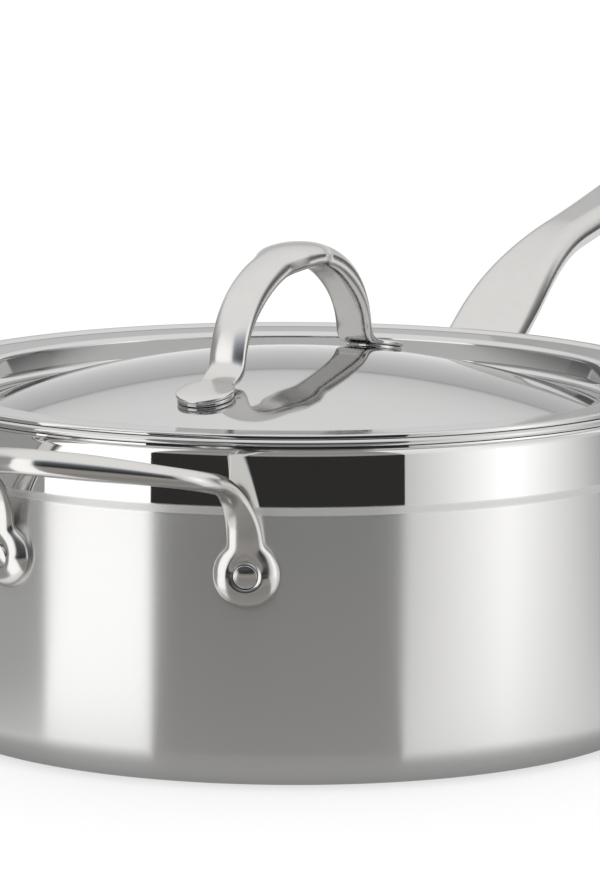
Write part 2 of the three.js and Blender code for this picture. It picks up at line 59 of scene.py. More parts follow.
HELPER_NECK_WIDTH, HELPER_NECK_THICK, HELPER_CORNER_WIDTH = 10.4, 4.8, 7.0
HELPER_BAR_WIDTH, HELPER_BAR_THICK = 8.2, 7.4
HELPER_STEM, HELPER_BEND_R, HELPER_TURN, HELPER_REACH = 5.4, 24.0, 76.6, 52.5
HELPER_TIP_R, HELPER_TIP_TURN, HELPER_CORNER_R, HELPER_CORNER_TURN = 14.5, 20.0, 21.0, 43.5
LONG_RIVET_SPACING, LONG_PAD_WIDTH, LONG_PAD_BELOW, LONG_PAD_THICK = 30.0, 46.0, 11.0, 5.6
LONG_STEM, LONG_BEND_R, LONG_BEND, LONG_RAMP = 6.0, 25.0, 55.5, 22.6
LONG_CREST_R, LONG_CREST, LONG_GRIP = 132.0, 26.0, 121.8
LONG_RAMP_WIDTH, LONG_WAIST_WIDTH, LONG_GRIP_WIDTH, LONG_THICK = 25.4, 16.0, 22.0, 7.2
SLOT_LENGTH, SLOT_WIDTH, SLOT_WALL = 16.0, 8.0, 8.0
PAN_SIDES = 48

PAN_INSIDE_R = PAN_R - SHEET
LIP_R = PAN_R + LIP_FILLET_R + LIP_EDGE
LID_R = LIP_R - LID_EDGE_IN
RIM_Z = PAN_HEIGHT + FIT + LID_SHEET
FLANGE_Z = RIM_Z - RIM_STEP
FLANGE_R = LID_R - RIM_BAND - RIM_STEP_RUN
RECESS_R = FLANGE_R - FLANGE_WIDTH - FLANGE_CORNER_R
VALLEY_Z = FLANGE_Z - RECESS_DEPTH
VALLEY_R = RECESS_R - RECESS_FILLET_R - VALLEY_WIDTH
DOME_TOP = PAN_HEIGHT + DOME_RISE
DOME_DROP = DOME_TOP - VALLEY_Z - DOME_FILLET_R
DOME_R = (VALLEY_R ** 2 + DOME_DROP ** 2 - DOME_FILLET_R ** 2) / (2 * (DOME_FILLET_R + DOME_DROP))
DOME_CENTRE = Vector((0, 0, DOME_TOP - DOME_R))
BOSS_BASE = FIT
FOOT_BASE = BOSS_BASE + BOSS_HEIGHT + FIT

# Finer forms that only the looks have. Exponents say how square a section is: 2 is an ellipse.
CONTACT = 0.03  # gap left where the finer forms touch
SKIN_ROOM, PAD_ROOM, STUD_ROOM = 0.05, 0.12, 0.1  # room round a pin in a skin, a pad and the lid
BAND_LOW, BAND_HIGH, BAND_PROUD = 78.5, 81.1, 0.4  # step up to the polished band under the lip
WALL_RINGS = (30, 46, RIVET_Z - 10, RIVET_Z, RIVET_Z + 10)  # rings of points on the plain wall
LIP_SHORT, LIP_TUCK, LIP_OVERLAP = 0.45, 1.6, 0.1  # ends of the skins short of the rolled edge of the lip
PLY_GAP = 0.05  # between that edge and the outer skin under it
RIM_TUCK, RIM_IN, RIM_TURNED = 1.6, 1.3, 0.2  # inside and lower edge of the rim of the lid
PIN_SUNK, PIN_CROWN, PIN_SLANT = 0.95, 0.7, 0.18  # end of a rivet: below its pad, domed and tilted down
PIN_END = 1.0  # length of that end
STUD_EDGE, STUD_CROWN, BOSS_EDGE = 0.3, 0.1, 0.3
SEAT_GAP = 0.02  # between a handle and the wall
DISH_DEPTH, DISH_IN, DISH_OUT, DISH_SKIN = 1.25, 2.6, 5.4, 2.0  # pad set down round a rivet
DISH_ABOVE, DISH_BELOW = 0.8, 1.12  # stretch of that dish above and below the rivet
LOOP_ROUND, PAD_ROUND, PAD_TIP = 1.95, 2.15, 1.75  # exponents of the helper loop, its pads and their tips
LOOP_LEAN = 0.4  # share of the loop over which it turns from the wall to straight out
BAR_GROWS = 0.3, 0.95  # where the loop's bar thins towards its corner
CORNER_FULLER, CORNER_RUN = 0.9, 14.0  # thicker strap before the loop's corner
BAR_EDGE, BAR_SHARE = 0.95, 0.72  # round edge of the long handle, and the share of points on it
BAR_DEEPER, DEEP_FROM, DEEP_FULL, DEEP_END = 1.2, 0.3, 0.6, 60.0  # its depth under the bend
BAR_SETTLED, FLARE_END, TAPER_FROM = 0.45, 0.4, 0.5  # its changes on the way to the waist
KNEE_FULLER, KNEE_LOWER, KNEE_TURN = 0.45, 1.7, 7.0  # where the lid handle turns into a foot
FOOT_FLAT_END, KNEE_FROM, KNEE_END = 1.5, 1.8, 2.6  # from the tip of a foot, in radii of the foot
ARCH_OUTER, CROWN_OUTER, ARCH_INNER = 2.3, 2.1, 3.4  # exponents of the lid handle
FOOT_ROUND, FOOT_FLAT = 3.2, 6.0  # exponents of the top and the underside of a foot
SWELL_REACH, SWELL_FLAT, CROWN_FULL = 16.0, 3.5, 0.75  # where the crown of the lid handle swells
SHARP_ANGLE = 35  # degrees between two faces that keep a sharp edge
FINE_BUMP, GRAIN_BUMP, WAVE_BUMP = 0.01 * MM, 0.03 * MM, 0.4 * MM  # depth of the marks in the finishes
LATHE_SIDES, PIN_SIDES, BOSS_SIDES = 256, 64, 96
LOOP_SIDES, BAR_SIDES, ARCH_SIDES = 112, 96, 80
LOOP_STEPS, BAR_STEPS, KNEE_STEPS, ARCH_STEPS, STEP_STEPS = 64, 139, 28, 72, 12
TIP_STEPS, SIDE_STEPS, CORNER_STEPS = 14, 40, 28  # plan of the helper loop
DOME_STEPS, VALLEY_STEPS, RECESS_STEPS, FLANGE_STEPS = 48, 16, 12, 10
PAD_TURNS, BAR_TURNS = range(6, 121, 3), range(6, 121, 5)  # degrees round a rounded end, one section each
FOOT_TURNS = [*range(3, 30, 3), *range(30, 121, 5)]


def smoothstep(x, low, high):
    t = min(max((x - low) / (high - low), 0.0), 1.0)
    return t * t * (3 - 2 * t)


def lerp(a, b, t):
    return a + (b - a) * t


def arc(x, z, radius, start, end, steps):
    turns = [math.radians(lerp(start, end, i / steps)) for i in range(steps + 1)]
    return [(x + radius * math.cos(t), z + radius * math.sin(t)) for t in turns]


# Materials

def node(tree, kind, links=None, **values):
    made = tree.nodes.new(kind)
    for key, value in values.items():
        setattr(made, key, value)
    for socket, source in (links or {}).items():
        if isinstance(source, bpy.types.NodeSocket):
            tree.links.new(source, made.inputs[socket])
        else:
            made.inputs[socket].default_value = source
    return made


def maths(tree, operation, a, b=0.0, c=0.0):
    return node(tree, "ShaderNodeMath", {0: a, 1: b, 2: c}, operation=operation).outputs[0]


def ramp(tree, value, low, high, start, end, kind="SMOOTHSTEP"):
    made = node(tree, "ShaderNodeMapRange", {0: value, 1: low, 2: high, 3: start, 4: end})
    made.interpolation_type = kind
    return made.outputs[0]


def blended(tree, share, low, high):
    return node(tree, "ShaderNodeMix", {0: share, 2: low, 3: high}, data_type="FLOAT").outputs[0]


def noise(tree, vector, scale, detail=2.0, rough=0.5):
    made = node(tree, "ShaderNodeTexNoise", {"Vector": vector, "Scale": scale, "Detail": detail})
    made.inputs["Roughness"].default_value = rough
    return made.outputs[0]


def ring_noise(tree, way, scale, detail):
    links = {"W": way, "Scale": scale, "Detail": detail}
    return node(tree, "ShaderNodeTexNoise", links, noise_dimensions="1D").outputs[0]


def stretched(tree, coordinates, x, y, z):
    made = node(tree, "ShaderNodeMapping", {"Vector": coordinates})
    made.inputs["Scale"].default_value = (x, y, z)
    return made.outputs[0]


def object_place(tree):
    return tree.nodes.new("ShaderNodeTexCoord").outputs["Object"]


def height_of(tree, place):
    return node(tree, "ShaderNodeSeparateXYZ", {0: place}).outputs[2]


def length_of(tree, place):
    return node(tree, "ShaderNodeVectorMath", {0: place}, operation="LENGTH").outputs["Value"]


# Distance from the axis of the pan, and height
def from_axis(tree, place):
    part = node(tree, "ShaderNodeSeparateXYZ", {0: place})
    across = maths(tree, "POWER", part.outputs[0], 2.0)
    across = maths(tree, "MULTIPLY_ADD", part.outputs[1], part.outputs[1], across)
    return maths(tree, "SQRT", across), part.outputs[2]


def new_material(name):
    material = bpy.data.materials.new(name)
    material.use_nodes = True
    tree = material.node_tree
    tree.nodes.clear()
    shader = tree.nodes.new("ShaderNodeBsdfPrincipled")
    output = tree.nodes.new("ShaderNodeOutputMaterial")
    tree.links.new(shader.outputs[0], output.inputs[0])
    shader.inputs["Metallic"].default_value = 1.0
    shader.inputs["Specular Tint"].default_value = (0.77, 0.77, 0.77, 1)
    return material, tree, shader, object_place(tree)


def coloured(tree, shader, shade, dark, light):
    made = node(tree, "ShaderNodeMix", {0: shade}, data_type="RGBA")
    made.inputs[6].default_value = (*dark, 1)
    made.inputs[7].default_value = (*light, 1)
    tree.links.new(made.outputs[2], shader.inputs["Base Color"])


# A plain level raised by patterns, each given as (pattern, share)
def varied(tree, level, *patterns):
    for pattern, share in patterns:
        level = maths(tree, "MULTIPLY_ADD", pattern, share, level)
    return level


def bumped(tree, shader, height, strength, distance):
    made = node(tree, "ShaderNodeBump", {"Height": height, "Strength": strength, "Distance": distance})
    tree.links.new(made.outputs[0], shader.inputs["Normal"])


# Wall of the pan: brushed round the axis below the band, matt on the step, polished above it
def wall_material():
    material, tree, shader, place = new_material("brushed_wall")
    height = height_of(tree, place)
    polish = ramp(tree, height, (BAND_LOW - 0.6) * MM, (BAND_LOW + 0.9) * MM, 0.0, 1.0)
    lines = noise(tree, stretched(tree, place, 10, 10, 9000), 1.0, 3.0, 0.6)
    broad = noise(tree, stretched(tree, place, 9, 9, 260), 1.0, 2.0)
    polished_rough, ledge_rough = 0.045, 0.35
    rough = varied(tree, 0.255, (lines, 0.012), (broad, 0.012))
    rough = blended(tree, polish, rough, polished_rough)
    ledge = ramp(tree, height, (BAND_LOW - 0.3) * MM, (BAND_LOW + 0.5) * MM, 0.0, 1.0)
    above = ramp(tree, height, (BAND_HIGH - 0.5) * MM, (BAND_HIGH + 0.3) * MM, 1.0, 0.0)
    ledge = maths(tree, "MULTIPLY", ledge, above)
    rough = blended(tree, ledge, rough, ledge_rough)
    tree.links.new(rough, shader.inputs["Roughness"])
    coloured(tree, shader, lines, (0.77, 0.765, 0.755), (0.80, 0.795, 0.785))
    shader.inputs["Anisotropic"].default_value = 1.0
    shader.inputs["Anisotropic Rotation"].default_value = 0.25
    metal = ramp(tree, polish, 0.0, 1.0, 0.92, 1.0, "LINEAR")
    tree.links.new(varied(tree, metal, (ledge, -0.45)), shader.inputs["Metallic"])
    tangent = node(tree, "ShaderNodeTangent", direction_type="RADIAL", axis="Z")
    tree.links.new(tangent.outputs[0], shader.inputs["Tangent"])
    matt = maths(tree, "SUBTRACT", 1.0, polish)
    bumped(tree, shader, maths(tree, "MULTIPLY", lines, matt), 0.02, FINE_BUMP)
    return material


# Mirror-polished sheet of the lid, with faint turning marks round the axis
def sheet_material():
    material, tree, shader, place = new_material("polished_sheet")
    rings = ring_noise(tree, from_axis(tree, place)[0], 2600.0, 2.0)
    cloud = noise(tree, place, 30.0, 3.0)
    rough = varied(tree, 0.025, (rings, 0.03), (cloud, 0.03))
    tree.links.new(rough, shader.inputs["Roughness"])
    coloured(tree, shader, cloud, (0.64, 0.64, 0.635), (0.68, 0.68, 0.675))
    bumped(tree, shader, rings, 0.03, FINE_BUMP)
    return material


# Polished casting: slight waves left by the polishing wheel and fine scratches along the pieces
def cast_material():
    material, tree, shader, place = new_material("polished_cast")
    waves = noise(tree, place, 55.0, 1.0)
    haze = noise(tree, place, 240.0, 4.0, 0.6)
    scratches = noise(tree, stretched(tree, place, 60, 2600, 900), 1.0, 2.0)
    rough = varied(tree, 0.145, (haze, 0.06), (scratches, 0.03))
    tree.links.new(rough, shader.inputs["Roughness"])
    coloured(tree, shader, haze, (0.665, 0.655, 0.635), (0.715, 0.705, 0.69))
    bumped(tree, shader, waves, 0.1, WAVE_BUMP)
    return material


# Inside of the pan: satin, turned round the axis, with a polished lip
def inside_material():
    material, tree, shader, place = new_material("satin_inside")
    radius, height = from_axis(tree, place)
    rings = ring_noise(tree, maths(tree, "ADD", height, radius), 3200.0, 3.0)
    lip = ramp(tree, height, (PAN_HEIGHT - 5) * MM, (PAN_HEIGHT - 2) * MM, 0.0, 1.0)
    satin, polished_rough = varied(tree, 0.24, (rings, 0.05)), 0.05
    tree.links.new(blended(tree, lip, satin, polished_rough), shader.inputs["Roughness"])
    coloured(tree, shader, rings, (0.625, 0.62, 0.61), (0.65, 0.645, 0.635))
    bumped(tree, shader, rings, 0.02, FINE_BUMP)
    return material


# Rolled aluminium of the hidden core
def aluminium_material():
    material, tree, shader, place = new_material("rolled_aluminium")
    grain = noise(tree, stretched(tree, place, 900, 60, 900), 1.0, 3.0)
    tree.links.new(varied(tree, 0.35, (grain, 0.2)), shader.inputs["Roughness"])
    coloured(tree, shader, grain, (0.74, 0.75, 0.76), (0.82, 0.83, 0.84))
    bumped(tree, shader, grain, 0.1, GRAIN_BUMP)
    return material


WALL = wall_material()
POLISHED = sheet_material()
CAST = cast_material()
INSIDE = inside_material()
ALUMINIUM = aluminium_material()


# Meshes

def new_mesh(name, points, faces, material):
    mesh = bpy.data.meshes.new(name)
    mesh.from_pydata([tuple(MM * c for c in p) for p in points], [], faces)
    mesh.update()
    if material:
        mesh.materials.append(material)
    made = bpy.data.objects.new(name, mesh)
    bpy.context.scene.collection.objects.link(made)
    smooth(mesh)
    return made


def smooth(mesh):
    mesh.polygons.foreach_set("use_smooth", [True] * len(mesh.polygons))
    mesh.set_sharp_from_angle(angle=math.radians(SHARP_ANGLE))


def lathe(profile, sides):
    points, rings, faces = [], [], []
    for radius, z in profile:
        if radius < TINY:
            rings.append([len(points)] * sides)
            points.append((0.0, 0.0, z))
            continue
        rings.append([len(points) + i for i in range(sides)])
        for i in range(sides):
            turn = 2 * math.pi * i / sides
            points.append((radius * math.cos(turn), radius * math.sin(turn), z))
    closed = profile[0][0] > TINY
    pairs = list(zip(rings, rings[1:])) + ([(rings[-1], rings[0])] if closed else [])
    for low, high in pairs:
        for i in range(sides):
            k = (i + 1) % sides
            corner = [low[i], low[k], high[k], high[i]]
            faces.append(list(dict.fromkeys(corner)))
    return points, [f for f in faces if len(f) > 2]


def stood(points, at, along):
    turn = Vector((0, 0, 1)).rotation_difference(Vector(along))
    return [tuple(Vector(at) + turn @ Vector(p)) for p in points]


def cut(piece, cutters):
    for cutter in cutters:
        hole = piece.modifiers.new("hole", "BOOLEAN")
        hole.object = cutter
        hole.operation = "DIFFERENCE"
        hole.solver = "EXACT"
    evaluated = piece.evaluated_get(bpy.context.evaluated_depsgraph_get())
    mesh = bpy.data.meshes.new_from_object(evaluated)
    piece.modifiers.clear()
    piece.data = mesh
    smooth(mesh)
    for cutter in cutters:
        bpy.data.objects.remove(cutter)


def rod(at, along, radius, start, end):
    points, faces = lathe([(0, start), (radius, start), (radius, end), (0, end)], PIN_SIDES)
    return new_mesh("cutter", stood(points, at, along), faces, None)


def dress(piece, body, slot_name, *nodes):
    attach(piece, body)
    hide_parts(*nodes)


# Section of a strap: rounded by its outer and inner exponents
def strap_section(c, s, wide, thick, outer, inner):
    power = 2 / (outer if s >= 0 else inner)
    a = math.copysign(abs(c) ** power, c)
    b = math.copysign(abs(s) ** power, s)
    return wide * a, thick * b


# Section of a flat bar whose edges are full rounds
def bar_section(c, s, wide, thick):
    way = math.degrees(math.atan2(abs(s), abs(c))) / 90
    edge = min(wide, BAR_EDGE * thick)
    turn = math.radians(90 * min(way / BAR_SHARE, 1.0))
    flat = min(1.0, (1 - way) / (1 - BAR_SHARE))
    a = (wide - edge) * flat + edge * math.cos(turn)
    return math.copysign(a, c), math.copysign(thick * math.sin(turn), s)


# A solid along a path. Each station is (centre, outward direction, half width, half thickness, exponents).
# Without a direction it lies in the plane of the path, and without exponents the section is a flat bar.
def loft(stations, sides):
    points, faces = [], []
    count = len(stations)
    for k, (at, face, wide, thick, exponents) in enumerate(stations):
        along = stations[min(k + 1, count - 1)][0] - stations[max(k - 1, 0)][0]
        along.normalize()
        out = face if face is not None else Vector((along.z, 0, -along.x))
        out = (out - along * out.dot(along)).normalized()
        side = out.cross(along)
        for i in range(sides):
            turn = 2 * math.pi * i / sides
            c, s = math.cos(turn), math.sin(turn)
            if exponents:
                a, b = strap_section(c, s, wide, thick, *exponents)
            else:
                a, b = bar_section(c, s, wide, thick)
            points.append(tuple(at + side * a + out * b))
    for k in range(count - 1):
        for i in range(sides):
            n = (i + 1) % sides
            near, far = k * sides, (k + 1) * sides
            faces.append((near + i, near + n, far + n, far + i))
    for start, flip in ((0, True), ((count - 1) * sides, False)):
        ring = [start + i for i in range(sides)]
        faces.append(ring[::-1] if flip else ring)
    return points, faces


# Half width of a round pad that runs into a strap, this far from its tip
def pad_width(way, radius, strap):
    disc = math.sqrt(max(0.0, radius ** 2 - (way - radius) ** 2))
    strap *= smoothstep(way, radius * 0.7, radius * 1.2)
    return (disc + strap + math.hypot(disc - strap, radius / 8)) / 2


# Share of its full size that a rounded end has, this far from its tip
def tip_share(way, radius, power):
    return (1 - min(max(1 - way / radius, 0.0), 1.0) ** power) ** (1 / power)


# The pan

def sheet_curve(inset, lip_end, proud=0.0):
    lip_z = PAN_HEIGHT - SHEET
    fillet = LIP_FILLET_R - proud
    curve = [(0, inset)]
    curve += arc(PAN_R - BASE_CORNER_R, BASE_CORNER_R, BASE_CORNER_R - inset, -90, 0, 20)
    curve += [(PAN_R - inset, z) for z in WALL_RINGS]
    for i in range(STEP_STEPS + 1):
        z = lerp(BAND_LOW, BAND_HIGH, i / STEP_STEPS)
        curve.append((PAN_R - inset + proud * smoothstep(z, BAND_LOW, BAND_HIGH), z))
    curve += arc(PAN_R + LIP_FILLET_R, lip_z - fillet, fillet + inset, 180, 90, 10)
    curve.append((lip_end, lip_z + inset))
    return curve


def rivet_spot(angle):
    along = Vector((math.cos(math.radians(angle)), math.sin(math.radians(angle)), 0))
    flat = math.cos(math.pi / PAN_SIDES) * math.sqrt(PAN_INSIDE_R ** 2 - RIVET_HEAD_R ** 2)
    return along * (flat - FIT) + Vector((0, 0, RIVET_Z)), along


# Each rivet is (CAD node, angle round the pan, radius of the face of its pad)
LONG_FACE = math.hypot(PAN_R + LONG_PAD_THICK, LONG_RIVET_SPACING / 2)
LONG_RIVET_ANGLE = math.degrees(math.atan2(LONG_RIVET_SPACING / 2, PAN_R + LONG_PAD_THICK))
RIVETS = [
    ("helper_rivet_right", 180 + HELPER_RIVET_ANGLE, PAN_R + HELPER_PAD_THICK),
    ("helper_rivet_left", 180 - HELPER_RIVET_ANGLE, PAN_R + HELPER_PAD_THICK),
    ("long_handle_rivet_right", -LONG_RIVET_ANGLE, LONG_FACE),
    ("long_handle_rivet_left", LONG_RIVET_ANGLE, LONG_FACE),
]


def skin_drills():
    return [rod(*rivet_spot(angle), RIVET_R + SKIN_ROOM, -3, face) for _, angle, face in RIVETS]


def pad_spots(handle):
    return [(rivet_spot(angle), face) for name, angle, face in RIVETS if name.startswith(handle)]


def pad_drills(spots):
    return [rod(*spot, RIVET_R + PAD_ROOM, 0, face) for spot, face in spots]


def make_pan():
    edge = LIP_R - LIP_SHORT
    skin = sheet_curve(0, edge, BAND_PROUD) + sheet_curve(OUTER_PLY, edge)[::-1]
    outer = new_mesh("outer_skin", *lathe(skin, LATHE_SIDES), WALL)
    cut(outer, skin_drills())
    dress(outer, "pan", "brushed_steel", "outer_steel_ply")

    nose = (SHEET - OUTER_PLY - PLY_GAP) / 2
    bull = arc(LIP_R - nose, PAN_HEIGHT - nose, nose, -90, 90, 14)
    under = sheet_curve(SHEET - INNER_PLY, LIP_R - LIP_TUCK)
    under.append((LIP_R - LIP_TUCK + LIP_OVERLAP, PAN_HEIGHT - 2 * nose))
    over = sheet_curve(SHEET, LIP_R - nose - LIP_OVERLAP)
    inner = new_mesh("inner_skin", *lathe(under + bull + over[::-1], LATHE_SIDES), INSIDE)
    cut(inner, skin_drills())
    dress(inner, "pan", "brushed_steel", "inner_steel_ply")

    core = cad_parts["aluminium_core"]
    core.data.materials.clear()
    core.data.materials.append(ALUMINIUM)


# A pin with a round head below and a domed, bevelled end above
def headed_pin(radius, length, head_radius, head_height, bevel, crown):
    ball = (head_radius ** 2 + head_height ** 2) / (2 * head_height)
    reach = math.degrees(math.asin(head_radius / ball))
    profile = [(0, -head_height)] + arc(0, ball - head_height, ball, -90, reach - 90, 10)[1:]
    profile += [(radius, 0), (radius, length - bevel)]
    profile += arc(radius - bevel, length - bevel, bevel, 0, 80, 5)
    rise = radius - bevel
    rings = 8
    for i in range(1, rings + 1):
        r = rise * (1 - i / rings)
        profile.append((r, length + crown * (1 - (r / rise) ** 2)))
    return lathe(profile, PIN_SIDES)


def make_rivets():
    head = RIVET_HEAD_R, RIVET_HEAD_HEIGHT
    for name, angle, face in RIVETS:
        at, along = rivet_spot(angle)
        length = face - math.hypot(at.x, at.y) - PIN_SUNK
        points, faces = headed_pin(RIVET_R, length, *head, RIVET_EDGE, PIN_CROWN)
        points = [Vector(p) for p in stood(points, at, along)]
        ends = [(p - at).dot(along) > length - PIN_END for p in points]
        points = [p + along * (PIN_SLANT * (p.z - RIVET_Z) * end) for p, end in zip(points, ends)]
        piece = new_mesh(name.replace("rivet", "pin"), points, faces, CAST)
        dress(piece, "pan", "polished_cast_steel", name)


# Points of a handle that would be inside the wall move out to its surface
def seated(points):
    moved = []
    for x, y, z in points:
        radius = math.hypot(x, y)
        reach = PAN_R + SEAT_GAP
        grow = reach / radius if radius < reach and z < BAND_LOW else 1.0
        moved.append((x * grow, y * grow, z))
    return moved


# The pad is set down a little round each rivet, further above it than below
def dished(points, spots):
    moved = []
    for p in points:
        p = Vector(p)
        for (at, along), face in spots:
            off = p - at
            ahead = off.dot(along)
            flat = off - along * ahead
            rise = flat.z * (DISH_ABOVE if flat.z > 0 else DISH_BELOW)
            level = math.sqrt(max(flat.length_squared - flat.z ** 2, 0.0))
            aside = math.hypot(level, rise)
            if ahead > face - math.hypot(at.x, at.y) - DISH_SKIN:
                p = p - along * DISH_DEPTH * (1 - smoothstep(aside, DISH_IN, DISH_OUT))
        moved.append(tuple(p))
    return moved


# The helper loop

# Side view of the loop, this far from its rivet: distance out, height and turn
def helper_side(way):
    turn = math.radians(HELPER_TURN)
    turned = min(max((way - HELPER_STEM) / HELPER_BEND_R, 0.0), turn)
    past = max(0.0, way - HELPER_STEM - HELPER_BEND_R * turn)
    out = HELPER_BEND_R * (1 - math.cos(turned)) + past * math.sin(turn)
    up = min(way, HELPER_STEM) + HELPER_BEND_R * math.sin(turned) + past * math.cos(turn)
    return out, up, turned


# Plan of the loop from its tip, as (distance back, half width): a tight bend, a slack side and a corner
def helper_plan(half):
    tip, corner = math.radians(HELPER_TIP_TURN), math.radians(HELPER_CORNER_TURN)
    spare = half - HELPER_TIP_R * math.sin(tip) - HELPER_CORNER_R * (1 - math.sin(corner))
    side = spare / (math.sin(corner) - math.sin(tip))
    bends = [(HELPER_TIP_R, 0, tip, TIP_STEPS), (side, tip, corner, SIDE_STEPS),
             (HELPER_CORNER_R, corner, math.pi / 2, CORNER_STEPS)]
    plan, back, y = [(0.0, 0.0)], 0.0, 0.0
    for radius, start, end, steps in bends:
        for i in range(1, steps + 1):
            angle = lerp(start, end, i / steps)
            further = radius * (math.cos(start) - math.cos(angle))
            wider = radius * (math.sin(angle) - math.sin(start))
            plan.append((back + further, y + wider))
        back, y = plan[-1]
    return plan


def helper_half(sign):
    turn = math.radians(HELPER_TURN)
    sink = HELPER_PAD_THICK - HELPER_NECK_THICK / 2
    spread = math.radians(HELPER_RIVET_ANGLE)
    pad_x = -(PAN_R + sink) * math.cos(spread)
    pad_y = (PAN_R + sink) * math.sin(spread)
    bend_out = HELPER_BEND_R * (1 - math.cos(turn))
    length = HELPER_STEM + HELPER_BEND_R * turn + (HELPER_REACH - bend_out) / math.sin(turn)
    plan = helper_plan(pad_y)
    corner = length - plan[-1][0]

    def station(way, y):
        out, up, turned = helper_side(way)
        lean = spread * (1 - smoothstep(way, 0, length * LOOP_LEAN))
        grown = 1 - smoothstep(y / pad_y, *BAR_GROWS)
        slim = lerp(HELPER_NECK_WIDTH, HELPER_CORNER_WIDTH, smoothstep(way, HELPER_STEM, corner))
        neck = lerp(slim, HELPER_BAR_WIDTH, grown) / 2
        tip = way + HELPER_PAD_R
        strap = lerp(HELPER_NECK_THICK, HELPER_BAR_THICK, grown)
        strap += CORNER_FULLER * (1 - grown) * smoothstep(way, corner - CORNER_RUN, corner)
        settled = smoothstep(tip, HELPER_PAD_R, 2 * HELPER_PAD_R)
        flat = math.cos(turned)
        face = Vector((-flat * math.cos(lean), sign * flat * math.sin(lean), -math.sin(turned)))
        at = Vector((pad_x - out, sign * y, RIVET_Z + up)) - face * sink * (1 - settled)
        thick = lerp(HELPER_PAD_THICK, strap / 2, settled) * tip_share(tip, HELPER_PAD_R, PAD_TIP)
        section = lerp(PAD_ROUND, LOOP_ROUND, settled)
        return at, face, pad_width(tip, HELPER_PAD_R, neck), thick, (section, section)

    stations = [station(-HELPER_PAD_R * math.cos(math.radians(a)), pad_y) for a in PAD_TURNS]
    start = HELPER_PAD_R / 2
    stations += [station(lerp(start, corner, i / LOOP_STEPS), pad_y) for i in range(1, LOOP_STEPS)]
    stations += [station(length - back, y) for back, y in plan[:0:-1]]
    return stations, station(length, 0.0)


def make_helper():
    right, middle = helper_half(1)
    left, _ = helper_half(-1)
    points, faces = loft(right + [middle] + left[::-1], LOOP_SIDES)
    spots = pad_spots("helper")
    piece = new_mesh("helper_loop", dished(seated(points), spots), faces, CAST)
    cut(piece, pad_drills(spots))
    dress(piece, "pan", "polished_cast_steel", "helper_handle")


# The long handle

# Side view of the handle, this far from the foot of its pad: place, heading and whole length
def long_side(way):
    bend, crest = math.radians(LONG_BEND), math.radians(LONG_CREST)
    runs = [(LONG_PAD_BELOW + LONG_STEM, 0), (LONG_BEND_R * bend, -bend), (LONG_RAMP, 0),
            (LONG_CREST_R * crest, -crest), (LONG_GRIP, 0)]
    x, z, heading, left = 0.0, -LONG_PAD_BELOW, math.pi / 2, way
    for run, turn in runs:
        done = min(max(left, 0.0), run)
        turned = turn * done / run
        chord = done if turned == 0 else (2 * run / turn) * math.sin(turned / 2)
        x += chord * math.cos(heading + turned / 2)
        z += chord * math.sin(heading + turned / 2)
        heading += turned
        left -= done
    return x, z, heading, sum(run for run, _ in runs)


def slot_cutter(pad_x, length):
    x, z, heading, _ = long_side(length - SLOT_WALL - SLOT_LENGTH / 2)
    half = (SLOT_LENGTH - SLOT_WIDTH) / 2
    ring = arc(half, 0, SLOT_WIDTH / 2, -90, 90, 20) + arc(-half, 0, SLOT_WIDTH / 2, 90, 270, 20)
    turn = Matrix.Rotation(-heading, 4, "Y")
    centre = Vector((pad_x + x, 0, RIVET_Z + z))
    through = (-12, 12)
    points = [tuple(centre + turn @ Vector((u, v, h))) for h in through for u, v in ring]
    n = len(ring)
    walls = [(i, (i + 1) % n, n + (i + 1) % n, n + i) for i in range(n)]
    ends = [tuple(range(n))[::-1], tuple(range(n, 2 * n))]
    return new_mesh("cutter", points, walls + ends, None)


def make_long():
    length = long_side(0)[3]
    sink = LONG_PAD_THICK - LONG_THICK / 2
    pad_x = PAN_R + sink
    waist = length - LONG_GRIP

    def station(way):
        x, z, heading, _ = long_side(way)
        settled = smoothstep(way, LONG_PAD_BELOW, waist * BAR_SETTLED)
        flared = smoothstep(way, LONG_PAD_BELOW, waist * FLARE_END)
        flare = lerp(LONG_PAD_WIDTH, LONG_RAMP_WIDTH, flared)
        taper = (LONG_RAMP_WIDTH - LONG_WAIST_WIDTH) * smoothstep(way, waist * TAPER_FROM, waist)
        swell = (LONG_GRIP_WIDTH - LONG_WAIST_WIDTH) * smoothstep(way, waist, length)
        ends = tip_share(way, LONG_PAD_BELOW, 3) * tip_share(length - way, LONG_GRIP_WIDTH / 2, 2)
        body = lerp(LONG_PAD_THICK, LONG_THICK / 2, settled)
        body *= tip_share(way, LONG_PAD_BELOW, 4) * tip_share(length - way, LONG_THICK, 2)
        deeper = BAR_DEEPER * smoothstep(way, waist * DEEP_FROM, waist * DEEP_FULL)
        deeper *= 1 - smoothstep(way, waist, length - DEEP_END)
        at = Vector((pad_x + x - sink * (1 - settled), 0, RIVET_Z + z))
        at += Vector((math.sin(heading), 0, -math.cos(heading))) * deeper
        return at, None, (flare - taper + swell) / 2 * ends, body + deeper, None

    tips = [1 - math.cos(math.radians(a)) for a in BAR_TURNS]
    start = [LONG_PAD_BELOW * t for t in tips]
    end = [length - LONG_GRIP_WIDTH / 2 * t for t in tips][::-1]
    between = [lerp(start[-1], end[0], i / BAR_STEPS) for i in range(1, BAR_STEPS)]
    points, faces = loft([station(way) for way in start + between + end], BAR_SIDES)
    spots = pad_spots("long")
    piece = new_mesh("long_bar", dished(seated(points), spots), faces, CAST)
    cut(piece, [slot_cutter(pad_x, length)] + pad_drills(spots))
    dress(piece, "pan", "polished_cast_steel", "long_handle")


# The lid

